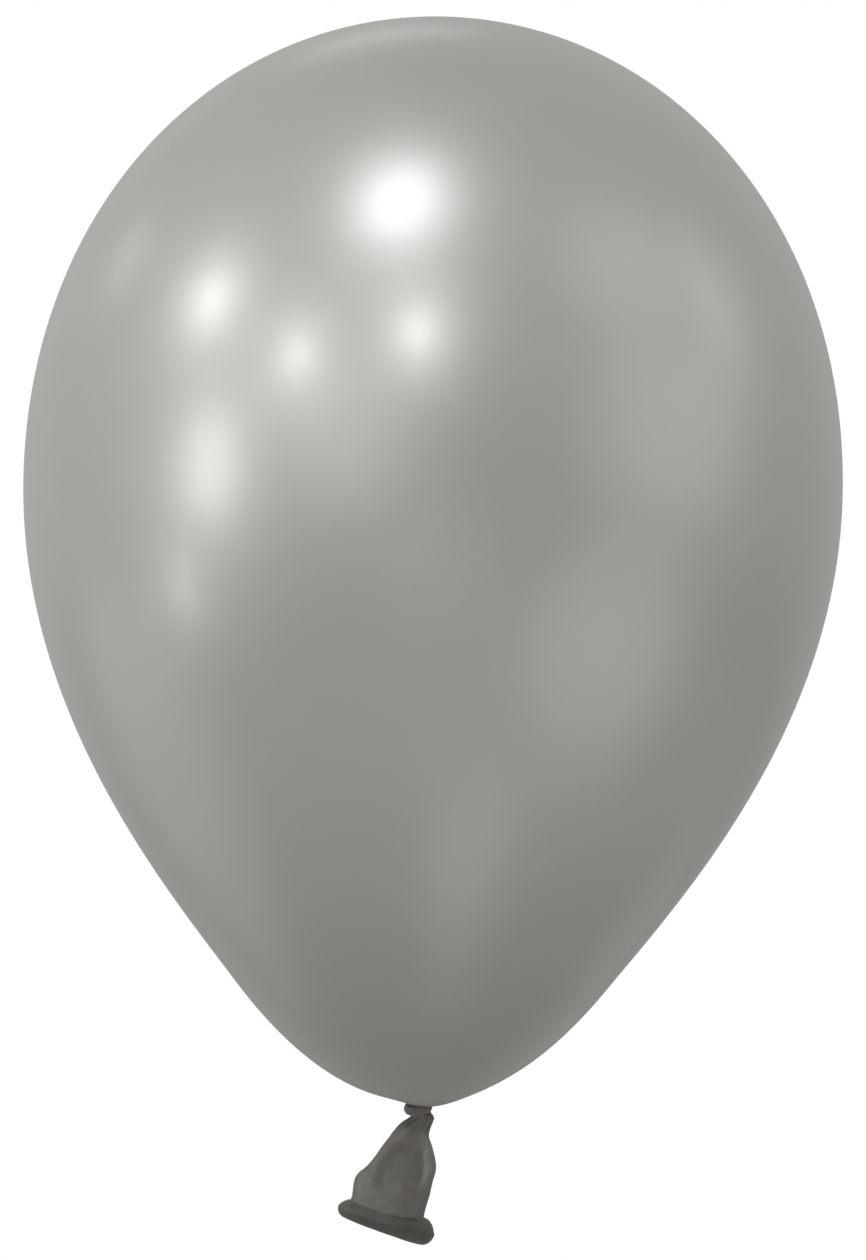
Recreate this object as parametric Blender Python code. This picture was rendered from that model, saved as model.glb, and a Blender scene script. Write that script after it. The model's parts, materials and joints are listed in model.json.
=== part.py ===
# A tied pearl latex party balloon: blown envelope, pinched neck, knot, tail sleeve and rolled lip.
# Metres, +Z up along the balloon's axis. The origin is the middle of the knot, where a ribbon is tied.
# The photographed side faces -Y, and +X is to its right.

import math

import bmesh
import bpy
from mathutils import Vector
from mathutils.geometry import interpolate_bezier

# Driving dimensions
ENVELOPE_RADIUS = 0.140
ENVELOPE_HEIGHT = 0.372
SKIN_THICKNESS = 0.0004
THROAT_RADIUS = 0.0045
THROAT_HEIGHT = 0.0027
KNOT_CORD_RADIUS = 0.0015
NECK_CORE_RADIUS = 0.0013
HINGE_HEIGHT = -0.0046
NECK_BALL_RADIUS = 0.0022
TAIL_LEAN_DEG = 17.9
SLEEVE_WALL = 0.0005
BEAD_RADIUS = 0.0026
LIP_BELOW_HINGE = 0.03515
TOUCHING_GAP = 0.0003

# How finely round forms are cut
ENVELOPE_SEGMENTS = 48
NECK_SEGMENTS = 24
BALL_STEPS = 8
SLEEVE_SEGMENTS = 32
SLEEVE_STEPS_PER_ROW = 2
KNOT_STEPS_PER_ROW = 5
LIP_POINTS = 48
TUBE_BEVEL_RESOLUTION = 3

# The envelope's outline from throat to crown, as Bezier anchors. Height is above the throat, and the
# tangent is in degrees above horizontal, pointing along the outline.
# radius, height, tangent, handle before, handle after, steps to the next anchor
ENVELOPE_OUTLINE = (
    (THROAT_RADIUS, 0.0, 11, 0.0, 0.023, 7),
    (0.064, 0.0415, 52, 0.030, 0.037, 9),
    (ENVELOPE_RADIUS, 0.2115, 90, 0.080, 0.095, 12),
    (0.0, ENVELOPE_HEIGHT, 180, 0.076, 0.0, 0),
)

# The knot's cord, one and a half turns round the neck, low at the right and high over the front.
# turn in degrees from +X towards +Y, radius, height, share of the cord's full thickness
KNOT_TURNS = (
    (-112, 0.0035, -0.0025, 0.55),
    (-90, 0.0037, -0.0024, 0.90),
    (0, 0.0044, -0.0024, 1.00),
    (90, 0.0040, -0.0010, 1.00),
    (180, 0.0033, 0.0006, 1.00),
    (270, 0.0033, 0.0009, 1.00),
    (360, 0.0033, 0.0009, 1.00),
    (388, 0.0033, 0.0009, 0.55),
)

# The tail sleeve's outer cross-sections, each a flattened oval that is deeper at its right end.
# distance below the hinge, half width, half depth, shift to the right, extra depth at the right
SLEEVE_SECTIONS = (
    (0.0003, 0.0034, 0.0034, 0.0, 0.0),
    (0.0020, 0.0055, 0.0037, -0.0003, 0.03),
    (0.0060, 0.0086, 0.0041, -0.0002, 0.10),
    (0.0120, 0.0106, 0.0043, 0.0004, 0.18),
    (0.0165, 0.0113, 0.0045, 0.0001, 0.22),
    (0.0200, 0.0133, 0.0048, -0.0016, 0.25),
    (0.0250, 0.0134, 0.0051, -0.0012, 0.25),
    (0.0290, 0.0135, 0.0054, -0.0009, 0.25),
    (0.0322, 0.0141, 0.0058, -0.0003, 0.25),
)

# The lip's oval loop. Its back strand rises towards the right, so the loop's right end looks thick.
LIP_HALF_WIDTH = 0.0150
LIP_HALF_DEPTH = 0.0060
LIP_SHIFT = 0.0003
LIP_EXTRA_DEPTH = 0.25
LIP_RISE = 0.0044
LIP_RISE_TURN_DEG = 50


def clear_scene():
    for obj in list(bpy.data.objects):
        bpy.data.objects.remove(obj)


def latex(name, colour, roughness, metallic):
    material = bpy.data.materials.new(name)
    material.use_nodes = True
    shader = material.node_tree.nodes["Principled BSDF"]
    shader.inputs["Base Color"].default_value = (*colour, 1.0)
    shader.inputs["Roughness"].default_value = roughness
    shader.inputs["Metallic"].default_value = metallic
    return material


def add_object(name, data, material, parent=None):
    obj = bpy.data.objects.new(name, data)
    obj.data.materials.append(material)
    obj.parent = parent
    bpy.context.scene.collection.objects.link(obj)
    return obj


def through_rows(rows, steps):
    # Points on a Catmull-Rom curve through the rows of a table, column by column.
    points = []
    for i in range(len(rows) - 1):
        before = rows[max(i - 1, 0)]
        start = rows[i]
        end = rows[i + 1]
        after = rows[min(i + 2, len(rows) - 1)]
        for step in range(steps):
            t = step / steps
            points.append(
                tuple(
                    0.5
                    * (
                        2 * b
                        + (c - a) * t
                        + (2 * a - 5 * b + 4 * c - d) * t * t
                        + (3 * b - a - 3 * c + d) * t ** 3
                    )
                    for a, b, c, d in zip(before, start, end, after)
                )
            )
    points.append(tuple(rows[-1]))
    return points


def revolve(outline, segments):
    # Spins an outline of (radius, height) pairs round Z into a mesh whose faces point outwards.
    bm = bmesh.new()
    verts = [bm.verts.new((radius, 0.0, height)) for radius, height in outline]
    edges = [bm.edges.new(pair) for pair in zip(verts, verts[1:])]
    bmesh.ops.spin(
        bm, geom=verts + edges, axis=(0, 0, 1), cent=(0, 0, 0), angle=2 * math.pi, steps=segments
    )
    bmesh.ops.remove_doubles(bm, verts=bm.verts, dist=1e-6)
    bmesh.ops.recalc_face_normals(bm, faces=bm.faces)
    mesh = bpy.data.meshes.new("revolved")
    bm.to_mesh(mesh)
    bm.free()
    mesh.shade_smooth()
    return mesh


def envelope_outline():
    outline = []
    for start, end in zip(ENVELOPE_OUTLINE, ENVELOPE_OUTLINE[1:]):
        radius_a, height_a, tangent_a, _, handle_a, steps = start
        radius_b, height_b, tangent_b, handle_b, _, _ = end
        anchor_a = Vector((radius_a, THROAT_HEIGHT + height_a))
        anchor_b = Vector((radius_b, THROAT_HEIGHT + height_b))
        along_a = Vector((math.cos(math.radians(tangent_a)), math.sin(math.radians(tangent_a))))
        along_b = Vector((math.cos(math.radians(tangent_b)), math.sin(math.radians(tangent_b))))
        control_a = anchor_a + along_a * handle_a
        control_b = anchor_b - along_b * handle_b
        points = interpolate_bezier(anchor_a, control_a, control_b, anchor_b, steps + 1)
        outline.extend((point.x, point.y) for point in points[:-1])
    outline.append((0.0, THROAT_HEIGHT + ENVELOPE_HEIGHT))
    return outline


def make_envelope(material):
    mesh = revolve(envelope_outline(), ENVELOPE_SEGMENTS)
    obj = add_object("envelope", mesh, material)
    skin = obj.modifiers.new("Skin", "SOLIDIFY")
    skin.thickness = SKIN_THICKNESS
    skin.offset = -1.0
    return obj


def make_neck(material):
    # A plug in the throat, a thin core through the knot, and a ball in the top of the tail.
    plug_radius = THROAT_RADIUS - SKIN_THICKNESS - TOUCHING_GAP
    plug_top = THROAT_HEIGHT + 0.0009
    plug_bottom = THROAT_HEIGHT + 0.0002
    core_top = THROAT_HEIGHT - 0.0007
    outline = [
        (0.0, plug_top),
        (plug_radius, plug_top),
        (plug_radius, plug_bottom),
        (NECK_CORE_RADIUS, core_top),
    ]
    ball_start = math.asin(NECK_CORE_RADIUS / NECK_BALL_RADIUS)
    for step in range(BALL_STEPS + 1):
        angle = ball_start + (math.pi - ball_start) * step / BALL_STEPS
        radius = NECK_BALL_RADIUS * math.sin(angle)
        outline.append((max(radius, 0.0), HINGE_HEIGHT + NECK_BALL_RADIUS * math.cos(angle)))
    outline[-1] = (0.0, HINGE_HEIGHT - NECK_BALL_RADIUS)
    return add_object("neck", revolve(outline, NECK_SEGMENTS), material)


def tube_along(points, radius, thickness_shares, cyclic):
    curve = bpy.data.curves.new("tube", "CURVE")
    curve.dimensions = "3D"
    curve.bevel_depth = radius
    curve.bevel_resolution = TUBE_BEVEL_RESOLUTION
    curve.use_fill_caps = not cyclic
    spline = curve.splines.new("POLY")
    spline.points.add(len(points) - 1)
    for target, point, share in zip(spline.points, points, thickness_shares):
        target.co = (*point, 1.0)
        target.radius = share
    spline.use_cyclic_u = cyclic
    spline.use_smooth = True
    return curve


def make_knot(material):
    points = []
    shares = []
    for turn, radius, height, share in through_rows(KNOT_TURNS, KNOT_STEPS_PER_ROW):
        angle = math.radians(turn)
        points.append((radius * math.cos(angle), radius * math.sin(angle), height))
        shares.append(share)
    return add_object("knot", tube_along(points, KNOT_CORD_RADIUS, shares, False), material)


def oval_point(angle, half_width, half_depth, shift, extra_depth):
    # One point of the tail's oval as (to the right, to the back), in the tail's own frame.
    depth = half_depth * math.sin(angle) * (1 + extra_depth * math.cos(angle))
    return shift + half_width * math.cos(angle), depth


def lip_rise(angle):
    return LIP_RISE * max(0.0, math.cos(angle - math.radians(LIP_RISE_TURN_DEG))) ** 2


def sleeve_ring(section, inset):
    below, half_width, half_depth, shift, extra_depth = section
    mouth_share = (below / SLEEVE_SECTIONS[-1][0]) ** 3
    ring = []
    for i in range(SLEEVE_SEGMENTS):
        angle = 2 * math.pi * i / SLEEVE_SEGMENTS
        across, back = oval_point(angle, half_width - inset, half_depth - inset, shift, extra_depth)
        ring.append((across, back, lip_rise(angle) * mouth_share - below))
    return ring


def make_tail_sleeve(material, hinge):
    # The outside runs down to the mouth and the inside runs back up, so the wall closes on itself.
    sections = through_rows(SLEEVE_SECTIONS, SLEEVE_STEPS_PER_ROW)
    rings = [sleeve_ring(section, 0.0) for section in sections]
    rings += [sleeve_ring(section, SLEEVE_WALL) for section in reversed(sections)]
    verts = [point for ring in rings for point in ring]
    faces = []
    for r in range(len(rings)):
        this_ring = r * SLEEVE_SEGMENTS
        next_ring = (r + 1) % len(rings) * SLEEVE_SEGMENTS
        for i in range(SLEEVE_SEGMENTS):
            j = (i + 1) % SLEEVE_SEGMENTS
            faces.append((this_ring + i, next_ring + i, next_ring + j, this_ring + j))
    mesh = bpy.data.meshes.new("tail_sleeve")
    mesh.from_pydata(verts, [], faces)
    bm = bmesh.new()
    bm.from_mesh(mesh)
    bmesh.ops.recalc_face_normals(bm, faces=bm.faces)
    bm.to_mesh(mesh)
    bm.free()
    mesh.shade_smooth()
    return add_object("tail_sleeve", mesh, material, hinge)


def make_lip(material, hinge):
    points = []
    for i in range(LIP_POINTS):
        angle = 2 * math.pi * i / LIP_POINTS
        across, back = oval_point(
            angle, LIP_HALF_WIDTH, LIP_HALF_DEPTH, LIP_SHIFT, LIP_EXTRA_DEPTH
        )
        points.append((across, back, lip_rise(angle) - LIP_BELOW_HINGE))
    tube = tube_along(points, BEAD_RADIUS, [1.0] * LIP_POINTS, True)
    return add_object("lip", tube, material, hinge)


def main():
    clear_scene()
    blown_latex = latex("blown_pearl_latex", (0.40, 0.40, 0.37), 0.35, 0.7)
    knot_latex = latex("knot_pearl_latex", (0.13, 0.13, 0.11), 0.5, 0.4)
    tail_latex = latex("tail_pearl_latex", (0.15, 0.15, 0.13), 0.45, 0.4)
    lip_latex = latex("lip_pearl_latex", (0.12, 0.12, 0.10), 0.45, 0.4)
    make_envelope(blown_latex)
    make_neck(knot_latex)
    make_knot(knot_latex)
    # The tail bends at the foot of the neck, and hangs to the left as it was tied.
    hinge = bpy.data.objects.new("tail_hinge", None)
    hinge.location = (0.0, 0.0, HINGE_HEIGHT)
    hinge.rotation_euler = (0.0, math.radians(TAIL_LEAN_DEG), 0.0)
    bpy.context.scene.collection.objects.link(hinge)
    make_tail_sleeve(tail_latex, hinge)
    make_lip(lip_latex, hinge)


main()
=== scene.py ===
# Looks for a knotted pearl silver party balloon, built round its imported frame.
# Metres. The origin is the middle of the knot, +Z runs up the balloon's axis,
# and the photographed side faces -Y.

import json
import math

import bmesh
import bpy
import numpy as np
from mathutils import Matrix, Vector, noise
from mathutils.interpolate import poly_3d_calc


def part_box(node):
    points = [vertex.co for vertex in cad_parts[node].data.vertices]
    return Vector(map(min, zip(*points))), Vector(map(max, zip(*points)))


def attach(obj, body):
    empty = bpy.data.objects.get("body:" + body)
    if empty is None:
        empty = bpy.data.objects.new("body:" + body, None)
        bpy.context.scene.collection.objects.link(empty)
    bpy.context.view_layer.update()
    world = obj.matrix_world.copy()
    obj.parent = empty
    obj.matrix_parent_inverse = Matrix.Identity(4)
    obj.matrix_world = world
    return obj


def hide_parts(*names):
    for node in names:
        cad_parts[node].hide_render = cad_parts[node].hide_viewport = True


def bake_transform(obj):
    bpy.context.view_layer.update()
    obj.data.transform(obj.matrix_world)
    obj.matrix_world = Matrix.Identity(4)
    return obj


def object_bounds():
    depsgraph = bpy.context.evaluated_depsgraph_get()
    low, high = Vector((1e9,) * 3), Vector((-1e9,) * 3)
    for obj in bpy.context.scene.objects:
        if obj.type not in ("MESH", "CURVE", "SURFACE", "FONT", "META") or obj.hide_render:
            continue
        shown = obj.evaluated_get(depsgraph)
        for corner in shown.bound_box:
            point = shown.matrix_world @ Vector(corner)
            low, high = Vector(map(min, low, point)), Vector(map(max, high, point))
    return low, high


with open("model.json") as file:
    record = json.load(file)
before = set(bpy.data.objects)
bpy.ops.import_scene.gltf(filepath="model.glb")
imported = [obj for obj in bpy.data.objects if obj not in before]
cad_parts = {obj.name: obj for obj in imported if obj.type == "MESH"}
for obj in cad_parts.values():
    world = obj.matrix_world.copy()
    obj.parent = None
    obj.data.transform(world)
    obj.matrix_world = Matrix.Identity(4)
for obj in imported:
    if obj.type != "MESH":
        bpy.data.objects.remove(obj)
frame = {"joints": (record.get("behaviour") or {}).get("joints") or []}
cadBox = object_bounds()
hinge = Vector(frame["joints"][0]["pos_m"])
noise.seed_set(5)   # else the noise vectors would differ from run to run


# small helpers

def addObject(name, data):
    obj = bpy.data.objects.new(name, data)
    bpy.context.scene.collection.objects.link(obj)
    return obj


def smoothStep(low, high, x):
    t = np.clip((np.asarray(x, float) - low) / (high - low), 0.0, 1.0)
    return t * t * (3 - 2 * t)


def bump(centre, width, x):
    return np.exp(-(((np.asarray(x, float) - centre) / width) ** 2))


def turnBump(centreDeg, widthDeg, angle):
    # a bump round a closed section, measured the short way round
    away = (np.degrees(angle) - centreDeg + 180.0) % 360.0 - 180.0
    return np.exp(-((away / widthDeg) ** 2))


def meshFromGrid(name, points, closedAlong=False):
    # points[row][around] becomes quads that wrap round each row
    rows, around = points.shape[:2]
    faces = []
    for r in range(rows if closedAlong else rows - 1):
        nextRow = (r + 1) % rows
        for i in range(around):
            j = (i + 1) % around
            faces.append((r * around + i, r * around + j, nextRow * around + j, nextRow * around + i))
    mesh = bpy.data.meshes.new(name)
    mesh.from_pydata(points.reshape(-1, 3).tolist(), [], faces)
    return mesh


def setFilmAndShading(mesh, values):
    # how thinly the latex is drawn out at each point, with painted highlight and painted shade mixed
    # in, read by the slack latex material
    layer = mesh.attributes.new("filmAndShading", "FLOAT", "POINT")
    layer.data.foreach_set("value", np.clip(values, 0.0, 1.0).astype(np.float32).ravel())


def settleNormals(mesh):
    bm = bmesh.new()
    bm.from_mesh(mesh)
    bmesh.ops.remove_doubles(bm, verts=bm.verts, dist=1e-7)
    bmesh.ops.recalc_face_normals(bm, faces=bm.faces)
    bm.to_mesh(mesh)
    bm.free()
    mesh.shade_smooth()


def applyModifiers(obj):
    # swaps the object's data for its evaluated mesh and drops the modifiers
    graph = bpy.context.evaluated_depsgraph_get()
    mesh = bpy.data.meshes.new_from_object(obj.evaluated_get(graph), depsgraph=graph)
    obj.modifiers.clear()
    if obj.type == "MESH":
        obj.data = mesh
        return obj
    name = obj.name
    bpy.data.objects.remove(obj)
    return addObject(name, mesh)


# node helpers, for materials and geometry trees

def addNode(tree, kind, **settings):
    node = tree.nodes.new(kind)
    for key, value in settings.items():
        if hasattr(node, key):
            setattr(node, key, value)
        else:
            node.inputs[key.replace("_", " ")].default_value = value
    return node


def math2(tree, operation, a, b=None):
    node = tree.nodes.new("ShaderNodeMath")
    node.operation = operation
    for socket, value in zip(node.inputs, (a, b)):
        if isinstance(value, bpy.types.NodeSocket):
            tree.links.new(value, socket)
        elif value is not None:
            socket.default_value = value
    return node.outputs[0]


def newMaterial(name):
    material = bpy.data.materials.new(name)
    material.use_nodes = True
    tree = material.node_tree
    return material, tree, tree.nodes["Principled BSDF"]


def mixColours(tree, factor, a, b):
    node = tree.nodes.new("ShaderNodeMix")
    node.data_type = "RGBA"
    tree.links.new(factor, node.inputs["Factor"])
    for socket, value in ((node.inputs["A"], a), (node.inputs["B"], b)):
        if isinstance(value, bpy.types.NodeSocket):
            tree.links.new(value, socket)
        else:
            socket.default_value = (*value, 1.0)
    return node.outputs["Result"]


def product(tree, first, *others):
    result = first
    for other in others:
        result = math2(tree, "MULTIPLY", result, other)
    return result


def fadeOut(tree, distance, reach):
    # 1 at no distance, fading smoothly to nothing over about twice the reach
    share = math2(tree, "POWER", math2(tree, "DIVIDE", distance, reach), 2.0)
    return math2(tree, "EXPONENT", product(tree, share, -1.0))


def mapRange(tree, value, toEnds, fromEnds=(0.0, 1.0), interpolation="LINEAR"):
    node = addNode(tree, "ShaderNodeMapRange", interpolation_type=interpolation)
    for name, end in zip(("From Min", "From Max", "To Min", "To Max"), (*fromEnds, *toEnds)):
        node.inputs[name].default_value = end
    tree.links.new(value, node.inputs["Value"])
    return node.outputs[0]


def noiseAt(tree, place, scale, detail):
    node = addNode(tree, "ShaderNodeTexNoise", Scale=scale, Detail=detail)
    tree.links.new(place, node.inputs["Vector"])
    return node.outputs[0]


def addGrain(tree, shader, height, strength, distance):
    node = addNode(tree, "ShaderNodeBump", Strength=strength, Distance=distance)
    tree.links.new(height, node.inputs["Height"])
    tree.links.new(node.outputs[0], shader.inputs["Normal"])


# camera

cameraSettings = {
    "lens": 135.0,
    "sensor": 36.0,
    "photoSize": (866, 1260),
    "metresPerPixel": 0.0003416,   # at the balloon's axis
    "originPixel": (418.0, 1113.9),   # where the middle of the knot shows
    "rollDeg": 1.375,   # the crown leans to the right in the picture
}


def makeCamera():
    s = cameraSettings
    roll = math.radians(s["rollDeg"])
    right = Vector((math.cos(roll), 0.0, math.sin(roll)))
    up = Vector((-math.sin(roll), 0.0, math.cos(roll)))
    width, height = s["photoSize"]
    # the picture's centre, carried onto the plane through the balloon's axis
    across = (width / 2 - s["originPixel"][0]) * s["metresPerPixel"]
    above = (s["originPixel"][1] - height / 2) * s["metresPerPixel"]
    aim = right * across + up * above
    distance = s["lens"] / s["sensor"] * height * s["metresPerPixel"]
    # the outline of a ball shows a little large in perspective, so step back by that much
    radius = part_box("envelope")[1].x
    distance = math.hypot(distance, radius)
    data = bpy.data.cameras.new("camera")
    data.lens = s["lens"]
    data.sensor_width = s["sensor"]
    data.clip_start = 0.05
    data.clip_end = 100.0
    camera = addObject("camera", data)
    back = right.cross(up)
    turn = Matrix((right, up, back)).transposed().to_4x4()
    camera.matrix_world = Matrix.Translation(aim + back * distance) @ turn
    bpy.context.scene.camera = camera
    print("camera at", tuple(round(v, 4) for v in camera.location))


makeCamera()


# envelope: the blown skin, turned round Z from one outline by a geometry tree

envelopeSettings = {
    "around": 240,
    "along": 190,
    "crowding": 1.6,   # above 1 puts more rings near the knot
    "outlineSteps": 48,
    "puckerCount": 17,
    "puckerDepth": 0.0003,
    "puckerReach": 0.0065,
    "puckerWander": 0.9,
    "wanderScale": 1.7,
    "pull": 0.14,   # slope by which the knot draws the skin down at the right
    "pullReach": 0.012,
    "neckRadius": 0.0026,
    "neckDrop": 0.0014,
}

# radius as a share of the equator's, height as a share of the whole, tangent in degrees above
# horizontal, handle before and after in metres
envelopeOutline = (
    (0.0321, 0.0, 11, 0.0008, 0.023),
    (0.4571, 0.1116, 52, 0.030, 0.037),
    (1.0, 0.5685, 90, 0.080, 0.095),
    (0.0, 1.0, 180, 0.076, 0.0),
)


def outlineCurve():
    s = envelopeSettings
    low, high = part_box("envelope")
    radius = high.x
    height = high.z - low.z
    curve = bpy.data.curves.new("envelope_outline", "CURVE")
    curve.dimensions = "3D"
    curve.resolution_u = s["outlineSteps"]
    spline = curve.splines.new("BEZIER")
    spline.bezier_points.add(len(envelopeOutline) + 1)
    # the neck's closed end, out of sight inside the knot
    neckBottom = low.z - s["neckDrop"]
    for point, r in zip(spline.bezier_points, (0.0, s["neckRadius"])):
        point.co = (r, 0.0, neckBottom)
        point.handle_left_type = point.handle_right_type = "VECTOR"
    for point, row in zip(list(spline.bezier_points)[2:], envelopeOutline):
        share, up, tangentDeg, before, after = row
        at = Vector((share * radius, 0.0, low.z + up * height))
        tangent = math.radians(tangentDeg)
        along = Vector((math.cos(tangent), 0.0, math.sin(tangent)))
        point.co = at
        point.handle_left_type = point.handle_right_type = "FREE"
        point.handle_left = at - along * before
        point.handle_right = at + along * after
    return curve


def revolveTree(material):
    # turns the outline curve that it is given into a closed skin, puckered near the knot
    tree = bpy.data.node_groups.new("turn_outline", "GeometryNodeTree")
    face = tree.interface
    face.new_socket("Geometry", in_out="INPUT", socket_type="NodeSocketGeometry")
    for name, kind in (
        ("Around", "NodeSocketInt"),
        ("Along", "NodeSocketInt"),
        ("Crowding", "NodeSocketFloat"),
        ("Pucker Count", "NodeSocketFloat"),
        ("Pucker Depth", "NodeSocketFloat"),
        ("Pucker Reach", "NodeSocketFloat"),
        ("Pucker Wander", "NodeSocketFloat"),
        ("Pucker Hub", "NodeSocketFloat"),
        ("Pull", "NodeSocketFloat"),
        ("Pull Reach", "NodeSocketFloat"),
    ):
        face.new_socket(name, in_out="INPUT", socket_type=kind)
    face.new_socket("Geometry", in_out="OUTPUT", socket_type="NodeSocketGeometry")
    link = tree.links.new
    given = tree.nodes.new("NodeGroupInput")
    result = tree.nodes.new("NodeGroupOutput")

    grid = addNode(tree, "GeometryNodeMeshGrid", Size_X=1.0, Size_Y=1.0)
    link(given.outputs["Along"], grid.inputs["Vertices X"])
    link(given.outputs["Around"], grid.inputs["Vertices Y"])
    split = tree.nodes.new("ShaderNodeSeparateXYZ")
    link(grid.outputs["UV Map"], split.inputs[0])
    share = math2(tree, "POWER", split.outputs["X"], given.outputs["Crowding"])
    angle = math2(tree, "MULTIPLY", split.outputs["Y"], 2 * math.pi)

    sample = addNode(tree, "GeometryNodeSampleCurve", mode="FACTOR", use_all_curves=True)
    link(given.outputs["Geometry"], sample.inputs["Curves"])
    link(share, sample.inputs["Factor"])
    onOutline = tree.nodes.new("ShaderNodeSeparateXYZ")
    link(sample.outputs["Position"], onOutline.inputs[0])
    radius = onOutline.outputs["X"]
    height = onOutline.outputs["Z"]

    # puckers: a cosine round the knot whose phase wanders, fading with distance from the axis
    cosine = math2(tree, "COSINE", angle)
    sine = math2(tree, "SINE", angle)
    circle = tree.nodes.new("ShaderNodeCombineXYZ")
    link(cosine, circle.inputs["X"])
    link(sine, circle.inputs["Y"])
    wander = noiseAt(tree, circle.outputs[0], envelopeSettings["wanderScale"], 1.0)
    drift = product(tree, wander, given.outputs["Pucker Wander"])
    phase = product(tree, math2(tree, "ADD", angle, drift), given.outputs["Pucker Count"])
    wave = math2(tree, "COSINE", phase)
    away = math2(tree, "DIVIDE", radius, given.outputs["Pucker Reach"])
    fade = math2(tree, "EXPONENT", product(tree, away, -1.0))
    # no pucker at the very middle, where all the rings' points meet, nor up on the crown
    spread = math2(tree, "MINIMUM", math2(tree, "DIVIDE", radius, given.outputs["Pucker Hub"]), 1.0)
    underside = math2(tree, "LESS_THAN", height, given.outputs["Pull Reach"])
    rise = product(tree, wave, fade, given.outputs["Pucker Depth"], spread, underside)

    # the skin round the knot slopes down to the right
    across = product(tree, radius, cosine)
    near = fadeOut(tree, radius, given.outputs["Pull Reach"])
    slope = product(tree, near, underside, given.outputs["Pull"])
    height = math2(tree, "SUBTRACT", height, product(tree, across, slope))

    place = tree.nodes.new("ShaderNodeCombineXYZ")
    link(across, place.inputs["X"])
    link(product(tree, radius, sine), place.inputs["Y"])
    link(math2(tree, "ADD", height, rise), place.inputs["Z"])
    setPlace = tree.nodes.new("GeometryNodeSetPosition")
    link(grid.outputs["Mesh"], setPlace.inputs["Geometry"])
    link(place.outputs[0], setPlace.inputs["Position"])
    merge = addNode(tree, "GeometryNodeMergeByDistance", Distance=1e-6)
    link(setPlace.outputs[0], merge.inputs["Geometry"])
    smooth = tree.nodes.new("GeometryNodeSetShadeSmooth")
    link(merge.outputs[0], smooth.inputs["Geometry"])
    realize = tree.nodes.new("GeometryNodeRealizeInstances")
    link(smooth.outputs[0], realize.inputs[0])
    finish = tree.nodes.new("GeometryNodeSetMaterial")
    finish.inputs["Material"].default_value = material
    link(realize.outputs[0], finish.inputs["Geometry"])
    link(finish.outputs[0], result.inputs[0])
    return tree


def runTree(obj, tree, values):
    # sets a geometry tree's inputs by identifier, then keeps its result as a plain mesh
    modifier = obj.modifiers.new("shape", "NODES")
    modifier.node_group = tree
    for item in tree.interface.items_tree:
        if item.item_type == "SOCKET" and item.in_out == "INPUT" and item.name in values:
            modifier[item.identifier] = values[item.name]
    return applyModifiers(obj)


def makeEnvelope(material):
    s = envelopeSettings
    obj = addObject("envelope_skin", outlineCurve())
    obj = runTree(
        obj,
        revolveTree(material),
        {
            "Around": s["around"],
            "Along": s["along"],
            "Crowding": s["crowding"],
            "Pucker Count": float(s["puckerCount"]),
            "Pucker Depth": s["puckerDepth"],
            "Pucker Reach": s["puckerReach"],
            "Pucker Wander": s["puckerWander"],
            "Pucker Hub": s["neckRadius"],
            "Pull": s["pull"],
            "Pull Reach": s["pullReach"],
        },
    )
    settleNormals(obj.data)
    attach(obj, "balloon")
    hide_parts("envelope")
    print("envelope", len(obj.data.polygons), "faces")
    return obj


# materials

pearlSettings = {
    "low": (0.472, 0.472, 0.445),
    "high": (0.512, 0.508, 0.483),
    "knotEnd": (0.226, 0.221, 0.208),
    "crown": (0.40, 0.395, 0.37),
    "metallic": (0.88, 0.15),   # over the blown skin, and where it is less stretched at the knot
    "roughness": (0.36, 0.40),
    "cloudScale": 22.0,
    "flakeScale": 2600.0,
    "flakeBump": 0.02,
    "flakeHeight": 0.0002,
    "coat": (1.0, 0.0),   # the same two places
    "coatRoughness": 0.24,
    "crownSpot": 0.011,   # radius of the thick spot on the crown
    "throat": (0.16, 0.155, 0.145),
    "throatReach": 0.0095,   # the skin is thick and dark where it enters the knot
    "dull": 0.25,   # roughness that the skin at the knot has over the rest
    "dullReach": 0.046,
    # the colour darkens below these heights towards the knot end: partly thicker latex, partly
    # painted shade on the underside
    "paleningHeights": (-0.02, 0.215),   # heights between which the latex thins out and pales
}


def spotShare(tree, place, height, reach):
    # 1 on the balloon's axis at this height, fading out over the reach
    away = tree.nodes.new("ShaderNodeVectorMath")
    away.operation = "DISTANCE"
    tree.links.new(place, away.inputs[0])
    away.inputs[1].default_value = (0.0, 0.0, height)
    return fadeOut(tree, away.outputs["Value"], reach)


def pearlMaterial():
    s = pearlSettings
    material, tree, shader = newMaterial("blown pearl latex")
    link = tree.links.new
    place = tree.nodes.new("ShaderNodeTexCoord").outputs["Object"]
    flakes = noiseAt(tree, place, s["flakeScale"], 2.0)
    clouds = noiseAt(tree, place, s["cloudScale"], 3.0)
    colour = mixColours(tree, clouds, s["low"], s["high"])

    sides = tree.nodes.new("ShaderNodeSeparateXYZ")
    link(place, sides.inputs[0])
    # darker towards the bottom: partly thicker latex near the knot, partly painted shade
    thickAndShaded = mapRange(tree, sides.outputs["Z"], (1.0, 0.0), s["paleningHeights"], "SMOOTHSTEP")
    colour = mixColours(tree, thickAndShaded, colour, s["knotEnd"])

    skinLow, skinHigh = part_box("envelope")
    throat = spotShare(tree, place, skinLow.z, s["throatReach"])
    colour = mixColours(tree, throat, colour, s["throat"])
    crown = spotShare(tree, place, skinHigh.z, s["crownSpot"])
    colour = mixColours(tree, crown, colour, s["crown"])
    link(colour, shader.inputs["Base Color"])

    # the skin loses its gloss towards the knot
    dull = spotShare(tree, place, skinLow.z, s["dullReach"])
    rough = mapRange(tree, flakes, s["roughness"])
    rough = math2(tree, "ADD", rough, product(tree, dull, s["dull"]))
    link(rough, shader.inputs["Roughness"])
    link(mapRange(tree, dull, s["metallic"]), shader.inputs["Metallic"])
    link(mapRange(tree, dull, s["coat"]), shader.inputs["Coat Weight"])
    shader.inputs["Coat Roughness"].default_value = s["coatRoughness"]
    addGrain(tree, shader, flakes, s["flakeBump"], s["flakeHeight"])
    return material


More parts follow.
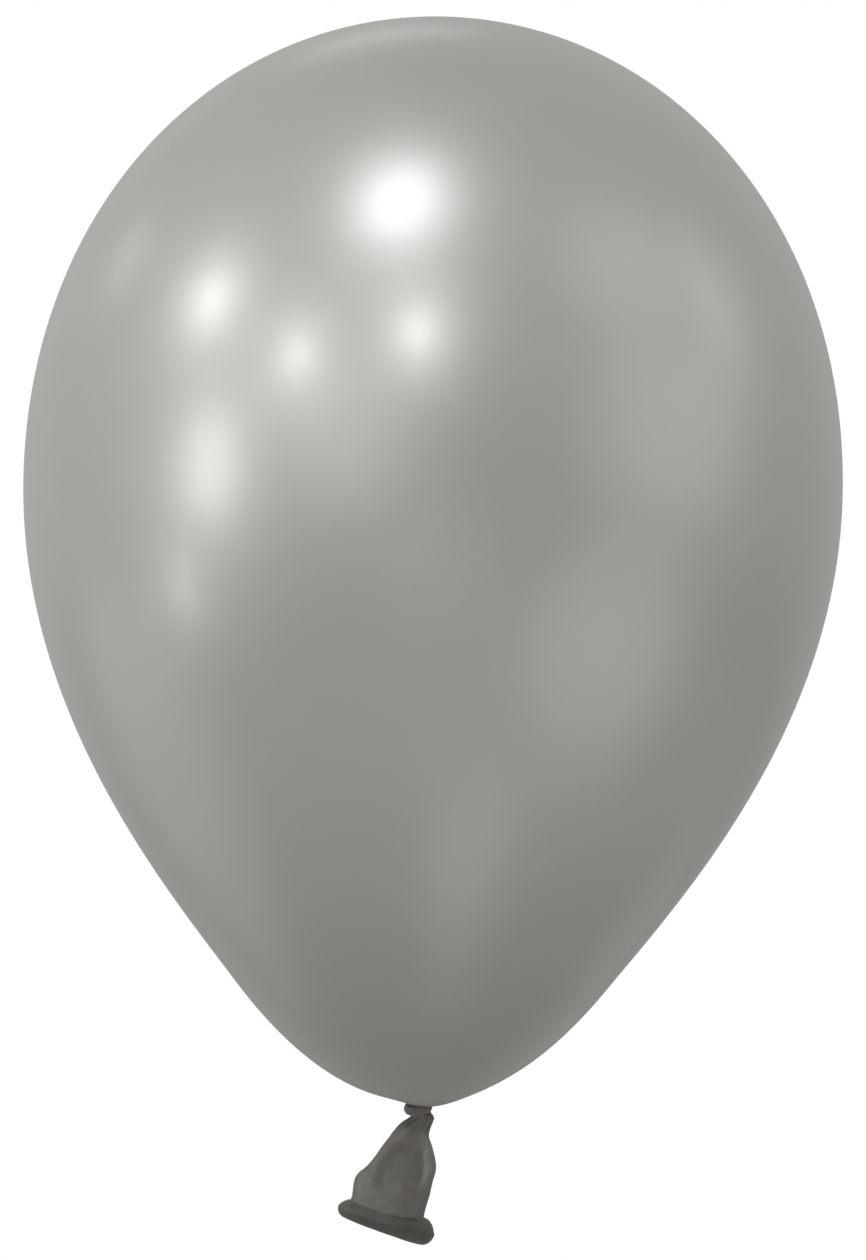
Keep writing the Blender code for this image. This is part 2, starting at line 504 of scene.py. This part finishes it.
slackSettings = {
    "low": (0.088, 0.086, 0.078),
    "high": (0.215, 0.215, 0.192),
    "warm": (0.105, 0.080, 0.068),
    "warmScale": 320.0,
    "mottle": 0.16,
    "mottleScale": 170.0,
    "metallic": 0.45,
    "roughness": (0.42, 0.56),
    "coat": 0.15,
    "coatRoughness": 0.3,
    "grainScale": 1500.0,
    "grainBump": 0.12,
    "grainHeight": 0.0002,
}


def slackMaterial(name, lowEndTone=1.0, highEndTone=1.0, warmShare=0.0):
    # unstretched latex: darker than the blown skin, with a dull pearl sheen
    s = slackSettings
    material, tree, shader = newMaterial(name)
    place = tree.nodes.new("ShaderNodeTexCoord").outputs["Object"]
    clouds = noiseAt(tree, place, s["mottleScale"], 4.0)
    # the film value mixes how far the latex is drawn out with painted light: 0 where it is thick,
    # folded double or given painted shade, 1 where it is thin or given a painted highlight
    filmAndShading = addNode(tree, "ShaderNodeAttribute", attribute_name="filmAndShading")
    mottle = product(tree, math2(tree, "SUBTRACT", clouds, 0.5), s["mottle"] * 2)
    filmAndShading = math2(tree, "ADD", filmAndShading.outputs["Fac"], mottle)
    # the low end is thick latex or painted shade, the high end thin latex or painted light
    low = [v * lowEndTone for v in s["low"]]
    high = [v * highEndTone for v in s["high"]]
    colour = mixColours(tree, filmAndShading, low, high)
    warm = noiseAt(tree, place, s["warmScale"], 1.0)
    share = product(tree, warm, warmShare)
    colour = mixColours(tree, share, colour, [v * lowEndTone for v in s["warm"]])
    tree.links.new(colour, shader.inputs["Base Color"])
    rough = mapRange(tree, clouds, s["roughness"])
    tree.links.new(rough, shader.inputs["Roughness"])
    shader.inputs["Metallic"].default_value = s["metallic"]
    shader.inputs["Coat Weight"].default_value = s["coat"]
    shader.inputs["Coat Roughness"].default_value = s["coatRoughness"]
    fine = noiseAt(tree, place, s["grainScale"], 3.0)
    addGrain(tree, shader, fine, s["grainBump"], s["grainHeight"])
    return material


envelope = makeEnvelope(pearlMaterial())


# tail: the unblown neck, a limp flattened sleeve that hangs from the knot

tailSettings = {
    "leanDeg": 17.9,   # it hangs to the left of the balloon's axis
    "around": 128,
    "along": 120,
    "wall": 0.00035,
    "mouth": 0.0345,
    "mouthRise": 0.0030,   # its edge runs up into the roll, which is taller at the right
    "riseAcross": (-0.013, 0.013),
    "riseFrom": 0.020,
    "gatherCount": 9,
    "gatherDepth": 0.0004,
    "gatherReach": 0.006,
    "gatherStart": (-0.004, -0.001),
    "gatherWander": (0.17, 0.1),
    "gatherSink": 0.4,   # they lie more inwards than outwards
    "flare": 0.0014,   # the film runs out over the roll at the front and back
    "flareSpan": (0.024, 0.0335),
    "crumple": 0.00022,
    "crumpleScale": 190.0,
    "crumpleStart": (-0.002, 0.006),
    "fineCrumple": 0.35,   # a share of the other
    "fineScale": (520.0, 520.0, 210.0),
    # folds: a span says how far below the hinge one starts, is full, starts to end, and ends
    "front": (0.05, 0.45),   # how far round the side the front begins, and is full
    "hollowDepth": 0.0017,
    "hollowSpan": (0.000, 0.011, 0.016, 0.0275),
    "hollowSlant": 0.25,   # it ends higher at the right
    "leftSoft": 0.0026,
    "rightSoft": 0.0012,
    "edgeWander": 0.0006,
    "edgeScale": 260.0,
    "foldHeight": 0.0009,
    "foldWidth": 0.0014,
    "foldSpan": (-0.001, 0.004, 0.011, 0.020),
    # where the painted highlight sits beside the fold's crest, and how wide it is
    "flankShift": 0.0016,   # to the left of the fold's crest
    "flankWidth": 1.2,   # a share of the fold's
    # turn and width in degrees, height: a hollow down the back, and a low ridge beside it
    "backFolds": ((112.0, 16.0, -0.0011), (76.0, 12.0, 0.0006)),
    "backSpan": (0.0035, 0.010, 0.021, 0.029),
    # what each place adds to the film value, and where that comes in, across and below: a painted
    # highlight on the flank, painted light on the left flap, painted shade in the hollow (partly
    # latex lying double), at the top under the knot and on the right flap, and a darker band above
    # the mouth
    "filmAndShading": {
        "plain": 0.52,
        "flankHighlight": 0.70,
        "hollow": -0.10,
        "top": -0.30,
        "topSpan": (-0.002, 0.007),
        "leftFlap": (0.14, (0.004, 0.010), (0.006, 0.014)),
        "rightFlap": (-0.20, (0.007, 0.012), (0.016, 0.023)),
        "mouth": -0.12,
        "mouthSpan": (0.026, 0.034),
    },
}

# lines down the front, in millimetres: distance below the hinge, distance to the right
hollowLeft = ((-2, 1.5), (3, 0.2), (8, -3.6), (13, -5.8), (19, -7.2), (25, -5.6), (30, -3.0))
hollowRight = ((-2, 1.6), (2, 3.0), (7, 5.2), (13, 7.5), (19, 8.0), (30, 6.5))
foldCrest = ((-2, 3.6), (3, 4.9), (7, 7.4), (12, 9.6), (18, 10.2), (26, 10.5))

# distance below the hinge, left edge, right edge, half depth, extra depth at the right
tailSections = (
    (-0.0052, -0.0016, 0.0036, 0.0022, 0.0),
    (-0.0042, -0.0024, 0.0045, 0.0026, 0.0),
    (-0.0030, -0.0029, 0.0045, 0.0028, 0.0),
    (-0.0016, -0.0036, 0.0043, 0.0029, 0.0),
    (0.0004, -0.0052, 0.0043, 0.0032, 0.0),
    (0.0025, -0.0064, 0.0048, 0.0035, 0.05),
    (0.0054, -0.0076, 0.0070, 0.0038, 0.10),
    (0.0085, -0.0086, 0.0092, 0.0041, 0.15),
    (0.0125, -0.0098, 0.0109, 0.0043, 0.18),
    (0.0165, -0.0108, 0.0113, 0.0045, 0.22),
    (0.0190, -0.0120, 0.01155, 0.0047, 0.24),
    (0.0212, -0.0135, 0.0118, 0.0048, 0.25),
    (0.0235, -0.0143, 0.0119, 0.0050, 0.25),
    (0.0260, -0.0143, 0.0120, 0.0052, 0.25),
    (0.0285, -0.0138, 0.0121, 0.0054, 0.25),
    (0.0305, -0.0134, 0.0122, 0.0055, 0.25),
    (0.0340, -0.0134, 0.0124, 0.0057, 0.25),
)

lipSettings = {
    "bottom": 0.0380,   # its lower edge is straight, this far below the hinge
    "height": (0.0033, 0.0044),   # half height at the left end, at the right end
    "width": (0.0027, 0.0033),   # half width of the roll, the same way
    "endSoft": 1.1,   # above 1, so that both ends still taper a little
    "reach": (-0.0139, 0.0145),   # where the middle of the roll turns at each end
    "halfDepth": 0.0060,
    "extraDepth": 0.25,
    "lean": 0.0007,   # the roll's top edge draws in to meet the film
    "narrowing": 0.38,   # and narrows by this share
    "groove": 0.10,   # a soft crease round the roll
    "grooveTurn": 0.35,
    "grooveWidth": 0.22,
    "grooveDepth": (0.2, 0.8),   # at the left end, and how much deeper at the right
    "uneven": ((170.0, 0.00012), (620.0, 0.00006)),   # scale and height of its lumps
    "around": 48,
    "along": 260,
    # the roll's film value: along its lower edge, then what its upper side, that side's left part and
    # its left end add; the paler upper side is painted light, partly thinner latex where it leaves
    # the film, and the dark lower edge is painted shade
    "filmAndShading": {
        "edge": 0.05,
        "upper": 0.20,
        "upperSpan": (-0.35, 0.9),
        "upperPower": 1.5,
        "pale": 0.60,
        "paleSpan": (0.35, 0.9),
        "end": 0.2,
        "endSpan": (0.0, 0.12),
        "endHeights": (-0.9, 0.2),
    },
}


def toRow(points):
    # from the tail's own frame, hanging straight down from the hinge, to the row frame
    lean = Matrix.Rotation(math.radians(tailSettings["leanDeg"]), 3, "Y")
    return points @ np.array(lean).T + np.array(hinge)


def sectionAt(below):
    # each column of the section table, read along a smooth curve
    table = np.array(tailSections)
    i = int(np.clip(np.searchsorted(table[:, 0], below) - 1, 0, len(table) - 2))
    a, b, c, d = (table[min(max(k, 0), len(table) - 1)] for k in (i - 1, i, i + 1, i + 2))
    t = (below - b[0]) / (c[0] - b[0])
    # slopes per row of the table, eased where the rows are uneven
    slopeB = (c - a) * (c[0] - b[0]) / max(c[0] - a[0], 1e-9)
    slopeC = (d - b) * (c[0] - b[0]) / max(d[0] - b[0], 1e-9)
    h00 = 2 * t ** 3 - 3 * t ** 2 + 1
    h10 = t ** 3 - 2 * t ** 2 + t
    h01 = -2 * t ** 3 + 3 * t ** 2
    h11 = t ** 3 - t ** 2
    return h00 * b + h10 * slopeB + h01 * c + h11 * slopeC


def alongCurve(rows, below):
    # a smooth line through (distance below, across) pairs given in millimetres
    table = np.array(rows, float) / 1000
    slopes = np.gradient(table[:, 1], table[:, 0])
    i = int(np.clip(np.searchsorted(table[:, 0], below) - 1, 0, len(table) - 2))
    span = table[i + 1, 0] - table[i, 0]
    t = min(max((below - table[i, 0]) / span, 0.0), 1.0)
    bend = (2 * t ** 3 - 3 * t ** 2 + 1) * table[i, 1] + (3 * t ** 2 - 2 * t ** 3) * table[i + 1, 1]
    return bend + ((t ** 3 - 2 * t ** 2 + t) * slopes[i] + (t ** 3 - t ** 2) * slopes[i + 1]) * span


def overSpan(span, below, slant=0.0):
    # comes in between the span's first two distances and goes between its last two
    return smoothStep(span[0], span[1], below) * (1 - smoothStep(span[2], span[3], below + slant))


def frontFolds(across, below):
    # depth of the hollow down the front, height of the fold at its right, and the mask of the painted
    # highlight on the fold's flank
    s = tailSettings
    wander = s["edgeWander"] * noise.noise(Vector((0.0, 3.0, below * s["edgeScale"])))
    leftEdge = alongCurve(hollowLeft, below) + wander
    rightEdge = alongCurve(hollowRight, below) - wander
    inside = smoothStep(-s["leftSoft"], s["leftSoft"], across - leftEdge)
    inside = inside * smoothStep(-s["rightSoft"], s["rightSoft"], rightEdge - across)
    hollow = inside * overSpan(s["hollowSpan"], below, s["hollowSlant"] * across)
    crest = alongCurve(foldCrest, below)
    along = overSpan(s["foldSpan"], below)
    fold = bump(crest, s["foldWidth"], across) * along
    # the fold's left flank gets a painted highlight: its colour is made paler there
    flankHighlight = bump(crest - s["flankShift"], s["foldWidth"] * s["flankWidth"], across) * along
    return hollow, fold, flankHighlight


def gathersAt(angles, below):
    # gathers fan out of the knot, unevenly spaced, and fade down the film
    s = tailSettings
    fade = smoothStep(*s["gatherStart"], below) * math.exp(-max(below, 0.0) / s["gatherReach"])
    twice, thrice = s["gatherWander"]
    wander = twice * np.sin(2 * angles + 0.7) + thrice * np.sin(3 * angles)
    waves = np.sin(s["gatherCount"] * (angles + wander)) - s["gatherSink"]
    return s["gatherDepth"] * fade * waves


def sleeveFilmAndShading(across, below, rise, front, hollow, flankHighlight):
    f = tailSettings["filmAndShading"]
    # painted highlight on the fold's flank, painted shade in the hollow, partly latex lying double
    thin = f["plain"] + front * (f["flankHighlight"] * flankHighlight + f["hollow"] * hollow)
    # painted shade under the knot
    thin = thin + f["top"] * (1 - smoothStep(*f["topSpan"], below))
    # painted light on the left flap, which faces the lamps, and painted shade on the right flap
    for (shade, outer, lower), side in ((f["leftFlap"], -across), (f["rightFlap"], across)):
        thin = thin + shade * (smoothStep(*outer, side) * smoothStep(*lower, below))
    # darker just above the roll
    return thin + f["mouth"] * smoothStep(*f["mouthSpan"], below - rise)


def crumple(points):
    # slack film is never quite smooth
    s = tailSettings
    fineScale = np.array(s["fineScale"])
    for p in points:
        calm = float(smoothStep(*s["crumpleStart"], -p[2]))
        p += np.array(noise.noise_vector(Vector(p) * s["crumpleScale"])) * s["crumple"] * calm
        p += np.array(noise.noise_vector(Vector(p * fineScale))) * s["crumple"] * s["fineCrumple"]


def sleevePoints():
    s = tailSettings
    top = tailSections[0][0]
    length = s["mouth"] - top
    angles = np.linspace(0.0, 2 * math.pi, s["around"], endpoint=False)
    front = smoothStep(*s["front"], -np.sin(angles))
    rows = []
    filmAndShading = []
    for share in np.linspace(0.0, 1.0, s["along"]):
        below = top + length * share
        _, left, right, halfDepth, extra = sectionAt(below)
        halfWidth = (right - left) / 2
        middle = (right + left) / 2
        out = gathersAt(angles, below)
        for turnDeg, widthDeg, height in s["backFolds"]:
            out = out + height * overSpan(s["backSpan"], below) * turnBump(turnDeg, widthDeg, angles)
        across = middle + (halfWidth + out) * np.cos(angles)
        back = (halfDepth + out) * np.sin(angles) * (1 + extra * np.cos(angles))
        flare = s["flare"] * smoothStep(*s["flareSpan"], below)
        back = back + flare * np.sin(angles)
        hollow, fold, flankHighlight = frontFolds(across, below)
        back = back + front * (s["hollowDepth"] * hollow - s["foldHeight"] * fold)
        toMouth = float(smoothStep(s["riseFrom"], s["mouth"], below))
        rise = toMouth * s["mouthRise"] * smoothStep(*s["riseAcross"], across)
        rows.append(np.stack([across, back, rise - below], axis=1))
        filmAndShading.append(sleeveFilmAndShading(across, below, rise, front, hollow, flankHighlight))
    points = np.array(rows)
    flat = points.reshape(-1, 3)
    crumple(flat)
    return toRow(flat).reshape(points.shape), np.array(filmAndShading)


def makeSleeve(material):
    s = tailSettings
    points, filmAndShading = sleevePoints()
    mesh = meshFromGrid("tail_skin", points)
    setFilmAndShading(mesh, filmAndShading)
    settleNormals(mesh)
    obj = addObject("tail_skin", mesh)
    mesh.materials.append(material)
    wall = obj.modifiers.new("wall", "SOLIDIFY")
    wall.thickness = s["wall"]
    wall.offset = -1.0
    applyModifiers(obj)
    obj.data.shade_smooth()
    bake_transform(obj)
    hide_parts("tail_sleeve")
    print("tail", len(obj.data.polygons), "faces")
    return obj


def rollRing(middle, outward, tall, wide, share):
    # one section of the roll: narrower at the top, with a shallow groove on the outside
    s = lipSettings
    least, more = s["grooveDepth"]
    ring = []
    for turn in np.linspace(0.0, 2 * math.pi, s["around"], endpoint=False):
        high = max(math.sin(turn), 0.0)
        away = math.cos(turn) * wide * (1 - s["narrowing"] * high ** 2) - s["lean"] * high
        groove = math.exp(-(((turn - s["grooveTurn"]) / s["grooveWidth"]) ** 2)) * s["groove"]
        groove = groove * (least + more * share)
        up = math.sin(turn) * tall
        ring.append(middle + outward * away * (1 - groove) + np.array([0.0, 0.0, up]))
    return ring


def rollFilmAndShading(heights, share):
    # paler on its upper side, most of all at the left: painted light, partly latex thinned where it
    # leaves the film; darker along its lower edge: painted shade
    f = lipSettings["filmAndShading"]
    upper = smoothStep(*f["upperSpan"], heights) ** f["upperPower"]
    pale = 1 - float(smoothStep(*f["paleSpan"], share))
    end = f["end"] * (1 - float(smoothStep(*f["endSpan"], share)))
    thin = f["edge"] + upper * (f["upper"] + f["pale"] * pale)
    return thin + end * (1 - upper) * smoothStep(*f["endHeights"], heights)


def makeLip(material):
    s = lipSettings
    centre = sum(s["reach"]) / 2
    halfWidth = (s["reach"][1] - s["reach"][0]) / 2
    heights = np.sin(np.linspace(0.0, 2 * math.pi, s["around"], endpoint=False))
    rows = []
    filmAndShading = []
    for angle in np.linspace(0.0, 2 * math.pi, s["along"], endpoint=False):
        # share runs from about 0 at the left end to about 1 at the right end
        share = float(smoothStep(-s["endSoft"], s["endSoft"], math.cos(angle)))
        tall = s["height"][0] + (s["height"][1] - s["height"][0]) * share
        wide = s["width"][0] + (s["width"][1] - s["width"][0]) * share
        middle = np.array([
            centre + halfWidth * math.cos(angle),
            s["halfDepth"] * math.sin(angle) * (1 + s["extraDepth"] * math.cos(angle)),
            tall - s["bottom"],
        ])
        outward = np.array([s["halfDepth"] * math.cos(angle), halfWidth * math.sin(angle), 0.0])
        outward /= np.linalg.norm(outward)
        rows.append(rollRing(middle, outward, tall, wide, share))
        filmAndShading.append(rollFilmAndShading(heights, share))
    points = np.array(rows).reshape(-1, 3)
    # a hand-rolled edge: gently uneven
    for p in points:
        for scale, height in s["uneven"]:
            p += np.array(noise.noise_vector(Vector(p) * scale)) * height
    points = toRow(points).reshape(s["along"], s["around"], 3)
    mesh = meshFromGrid("lip_bead", points, closedAlong=True)
    setFilmAndShading(mesh, np.array(filmAndShading))
    settleNormals(mesh)
    mesh.materials.append(material)
    obj = addObject("lip_bead", mesh)
    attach(obj, "tail")
    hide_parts("lip")
    print("lip", len(mesh.polygons), "faces")
    return obj


tailSkin = makeSleeve(slackMaterial("tail latex", warmShare=0.5))
lipBead = makeLip(slackMaterial("lip latex", lowEndTone=0.72, highEndTone=1.1, warmShare=0.4))


# knot: the neck's latex wrapped round itself, modelled as thick cords and then melted together

knotSettings = {
    "coreRadii": (0.0018, 0.0036),   # of the gathered neck in its middle, at the bottom and top
    "coreHeight": 0.0072,
    "corePlace": (0.0003, 0.0, -0.0008),
    "voxel": 0.00016,
    "smoothing": 6,
    "wrinkle": 0.00012,
    "gathers": (0.7, 13, 5.0, 300.0),   # share of the wrinkle, count, wander and its scale
    "lumps": (0.6, 900.0),   # share of the wrinkle, scale
    # what the top adds is painted light
    "filmAndShading": (0.26, 0.40),   # along the bottom, and what the top adds
    "filmHeights": (-0.001, 0.003),
}

# turn in degrees from +X towards +Y, radius, height, half height, half width of the cord
knotWraps = (
    # the collar
    (
        (-150, 0.0024, 0.0004, 0.0014, 0.0012),
        (-90, 0.0027, 0.0014, 0.0020, 0.0017),
        (-30, 0.0028, 0.0016, 0.0020, 0.0019),
        (30, 0.0029, 0.0015, 0.0019, 0.0019),
        (90, 0.0028, 0.0014, 0.0020, 0.0018),
        (150, 0.0029, 0.0013, 0.0021, 0.0019),
        (200, 0.0029, 0.0011, 0.0021, 0.0019),
        (260, 0.0027, 0.0010, 0.0019, 0.0016),
        (310, 0.0024, 0.0002, 0.0014, 0.0012),
    ),
    # the cord under it, which ends in the nub at the right
    (
        (100, 0.0012, -0.0010, 0.0010, 0.0010),
        (180, 0.0016, -0.0014, 0.0011, 0.0010),
        (270, 0.0016, -0.0013, 0.0011, 0.0010),
        (340, 0.0026, -0.0008, 0.0012, 0.0012),
        (375, 0.0036, -0.0006, 0.0010, 0.0011),
        (420, 0.0028, -0.0012, 0.0008, 0.0008),
    ),
)


def cordPoints(rows, steps=14, around=18):
    # rings round a smooth curve through the table's rows
    table = np.array(rows, float)
    points = []
    for i in range(len(table) - 1):
        a, b, c, d = (table[min(max(k, 0), len(table) - 1)] for k in (i - 1, i, i + 1, i + 2))
        linear = c - a
        square = 2 * a - 5 * b + 4 * c - d
        cube = 3 * b - a - 3 * c + d
        for step in range(steps):
            t = step / steps
            points.append(0.5 * (2 * b + linear * t + square * t ** 2 + cube * t ** 3))
    points.append(table[-1])
    rings = []
    for turn, radius, height, halfHeight, halfWidth in points:
        angle = math.radians(turn)
        outward = np.array([math.cos(angle), math.sin(angle), 0.0])
        centre = outward * radius + np.array([0.0, 0.0, height])
        ring = []
        for k in range(around):
            t = 2 * math.pi * k / around
            up = np.array([0.0, 0.0, halfHeight * math.sin(t)])
            ring.append(centre + outward * halfWidth * math.cos(t) + up)
        rings.append(ring)
    return np.array(rings)


def closeEnds(mesh):
    bm = bmesh.new()
    bm.from_mesh(mesh)
    loose = [e for e in bm.edges if e.is_boundary]
    bmesh.ops.holes_fill(bm, edges=loose)
    bmesh.ops.recalc_face_normals(bm, faces=bm.faces)
    bm.to_mesh(mesh)
    bm.free()


def knotCords():
    # both cords and the gathered neck that runs down the middle, as one mesh of separate solids
    s = knotSettings
    parts = bmesh.new()
    for rows in knotWraps:
        cord = meshFromGrid("wrap", cordPoints(rows))
        closeEnds(cord)
        parts.from_mesh(cord)
        bpy.data.meshes.remove(cord)
    bottom, top = s["coreRadii"]
    core = bmesh.ops.create_cone(
        parts, cap_ends=True, segments=32, radius1=bottom, radius2=top, depth=s["coreHeight"]
    )
    bmesh.ops.translate(parts, verts=core["verts"], vec=s["corePlace"])
    mesh = bpy.data.meshes.new("knot_wrap")
    parts.to_mesh(mesh)
    parts.free()
    return mesh


def wrinkleKnot(mesh):
    # fine gathers cross the cords, with small lumps over them
    s = knotSettings
    foldShare, count, wander, wanderScale = s["gathers"]
    lumpShare, lumpScale = s["lumps"]
    for vertex in mesh.vertices:
        p = vertex.co
        angle = math.atan2(p.y, p.x)
        fold = math.cos(count * angle + wander * noise.noise(p * wanderScale))
        height = foldShare * fold + lumpShare * noise.noise(p * lumpScale)
        vertex.co += vertex.normal * s["wrinkle"] * height


def makeKnot(material):
    s = knotSettings
    obj = addObject("knot_wrap", knotCords())
    melt = obj.modifiers.new("melt", "REMESH")
    melt.mode = "VOXEL"
    melt.voxel_size = s["voxel"]
    soften = obj.modifiers.new("soften", "SMOOTH")
    soften.iterations = s["smoothing"]
    applyModifiers(obj)
    wrinkleKnot(obj.data)
    # the knot is paler towards its top: painted light from above
    heights = np.array([v.co.z for v in obj.data.vertices])
    bottomFilm, topFilm = s["filmAndShading"]
    setFilmAndShading(obj.data, bottomFilm + topFilm * smoothStep(*s["filmHeights"], heights))
    obj.data.materials.append(material)
    obj.data.shade_smooth()
    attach(obj, "balloon")
    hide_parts("knot", "neck")
    print("knot", len(obj.data.polygons), "faces")
    return obj


knotWrap = makeKnot(slackMaterial("knot latex", lowEndTone=0.9, highEndTone=0.9, warmShare=0.9))

# the satin skin round the knot shows no mirror image of what hangs under it
for piece in (tailSkin, lipBead, knotWrap):
    piece.visible_glossy = False


# stage: a pale floor well below the tail, and a white room

stageSettings = {
    "floorDrop": 1.15,   # below the lowest point of the lip
    "floorRadius": 3.2,
    "floorColour": (0.86, 0.86, 0.85),
    "floorRoughness": 0.6,
    "backdrop": (1.0, 1.0, 1.0),   # what the camera sees behind the balloon
}


def makeFloor():
    s = stageSettings
    bm = bmesh.new()
    bmesh.ops.create_circle(bm, cap_ends=True, segments=128, radius=s["floorRadius"])
    mesh = bpy.data.meshes.new("floor")
    bm.to_mesh(mesh)
    bm.free()
    floor = addObject("floor", mesh)
    floor.location.z = cadBox[0].z - s["floorDrop"]
    material, _, shader = newMaterial("pale floor")
    shader.inputs["Base Color"].default_value = (*s["floorColour"], 1.0)
    shader.inputs["Roughness"].default_value = s["floorRoughness"]
    mesh.materials.append(material)


makeFloor()


# light: the room's glow, then the lamps, each placed where its reflection shows in the picture

roomSettings = {
    "glow": 0.37,
    "aboveFloor": 0.06,   # what the walls add to the glow from below
    "horizon": (-0.35, 0.05),
    "overhead": 0.15,
    "left": 0.25,
    "right": 0.08,
    "behind": 0.05,   # the room is dimmer behind the balloon
    "behindPower": 4.0,
    "tint": (1.0, 1.0, 0.97),
}

# where its reflection shows in the picture, distance from the skin, width and height in metres,
# how strongly it shines, coolness; the first five are bare lamps, the rest are pale cards and walls
lamps = (
    ("main lamp", (401, 202), 1.6, 0.53, 0.60, 5.0, 0.07),
    ("left lamp", (212, 301), 1.6, 0.21, 0.25, 12.4, 0.01),
    ("small lamp", (298, 355), 1.6, 0.085, 0.095, 66.0, 0.01),
    ("near lamp", (418, 333), 1.6, 0.13, 0.15, 37.0, 0.02),
    ("tall lamp", (211, 465), 1.6, 0.42, 0.55, 3.4, 0.04),
    ("low left card", (184, 586), 1.6, 0.14, 0.24, 5.8, 0.00),
    ("far left card", (129, 258), 1.6, 0.40, 0.26, 0.66, 0.00),
    ("crown card", (385, 36), 1.6, 0.60, 0.30, 0.40, 0.00),
    ("high right card", (714, 306), 1.6, 0.50, 0.70, 0.46, 0.00),
    ("high wall", (618, 266), 1.6, 1.00, 0.70, 0.31, 0.00),
    ("right wall", (668, 425), 1.6, 1.50, 0.90, 0.30, 0.00),
    ("low right wall", (606, 640), 1.5, 1.30, 1.10, 0.29, 0.00),
    ("low card", (466, 858), 0.9, 0.34, 0.42, 0.34, 0.00),
    ("low left wall", (168, 755), 1.5, 1.20, 1.20, 0.24, 0.00),
    ("front wall", (350, 440), 1.6, 0.80, 0.80, 0.50, 0.00),
    ("middle wall", (440, 560), 1.6, 1.00, 0.70, 0.25, 0.00),
)


def skinAt(pixel):
    # the point of the envelope that shows at a pixel of the picture, with its normal
    s = cameraSettings
    camera = bpy.context.scene.camera
    width, height = s["photoSize"]
    scale = s["sensor"] / s["lens"] / height
    local = Vector(((pixel[0] - width / 2) * scale, (height / 2 - pixel[1]) * scale, -1.0))
    ray = (camera.matrix_world.to_3x3() @ local).normalized()
    _, point, _, index = envelope.ray_cast(camera.location, ray)
    # the normal as it is shaded, blended from the face's corners
    mesh = envelope.data
    corners = [mesh.vertices[i] for i in mesh.polygons[index].vertices]
    weights = poly_3d_calc([corner.co for corner in corners], point)
    normal = sum((corner.normal * weight for corner, weight in zip(corners, weights)), Vector())
    return ray, point, normal.normalized()


def addLamp(name, pixel, distance, width, height, shine, coolness):
    ray, point, normal = skinAt(pixel)
    towards = ray - 2 * ray.dot(normal) * normal
    data = bpy.data.lights.new(name, "AREA")
    data.shape = "ELLIPSE"
    data.size = width
    data.size_y = height
    # an area lamp's radiance is its power over pi and its area
    data.energy = shine * math.pi * (math.pi * width * height / 4)
    data.color = (1.0 - coolness, 1.0 - coolness, 1.0)
    lamp = addObject(name, data)
    lamp.location = point + towards * distance
    lamp.rotation_mode = "QUATERNION"
    lamp.rotation_quaternion = (-towards).to_track_quat("-Z", "Y")
    lamp.visible_camera = False


def makeRoom():
    s = roomSettings
    world = bpy.data.worlds.new("room")
    world.use_nodes = True
    bpy.context.scene.world = world
    tree = world.node_tree
    tree.nodes.clear()
    link = tree.links.new
    way = tree.nodes.new("ShaderNodeTexCoord")
    sides = tree.nodes.new("ShaderNodeSeparateXYZ")
    link(way.outputs["Generated"], sides.inputs[0])
    across, backward, upward = sides.outputs
    walls = mapRange(tree, upward, (0.0, 1.0), s["horizon"], "SMOOTHSTEP")
    glow = product(tree, walls, s["aboveFloor"])
    overhead = product(tree, math2(tree, "MAXIMUM", upward, 0.0), s["overhead"])
    right = product(tree, math2(tree, "MAXIMUM", across, 0.0), s["right"])
    left = product(tree, math2(tree, "MINIMUM", across, 0.0), -s["left"])
    for more in (overhead, right, left, s["glow"]):
        glow = math2(tree, "ADD", glow, more)
    behind = math2(tree, "POWER", math2(tree, "MAXIMUM", backward, 0.0), s["behindPower"])
    glow = math2(tree, "SUBTRACT", glow, product(tree, behind, s["behind"]))
    room = tree.nodes.new("ShaderNodeBackground")
    room.inputs["Color"].default_value = (*s["tint"], 1.0)
    link(glow, room.inputs["Strength"])
    white = tree.nodes.new("ShaderNodeBackground")
    white.inputs["Color"].default_value = (*stageSettings["backdrop"], 1.0)
    path = tree.nodes.new("ShaderNodeLightPath")
    mix = tree.nodes.new("ShaderNodeMixShader")
    link(path.outputs["Is Camera Ray"], mix.inputs[0])
    link(room.outputs[0], mix.inputs[1])
    link(white.outputs[0], mix.inputs[2])
    output = tree.nodes.new("ShaderNodeOutputWorld")
    link(mix.outputs[0], output.inputs["Surface"])


makeRoom()
for row in lamps:
    addLamp(*row)
bpy.context.scene.view_settings.view_transform = "Standard"
print("stage and lamps ready")
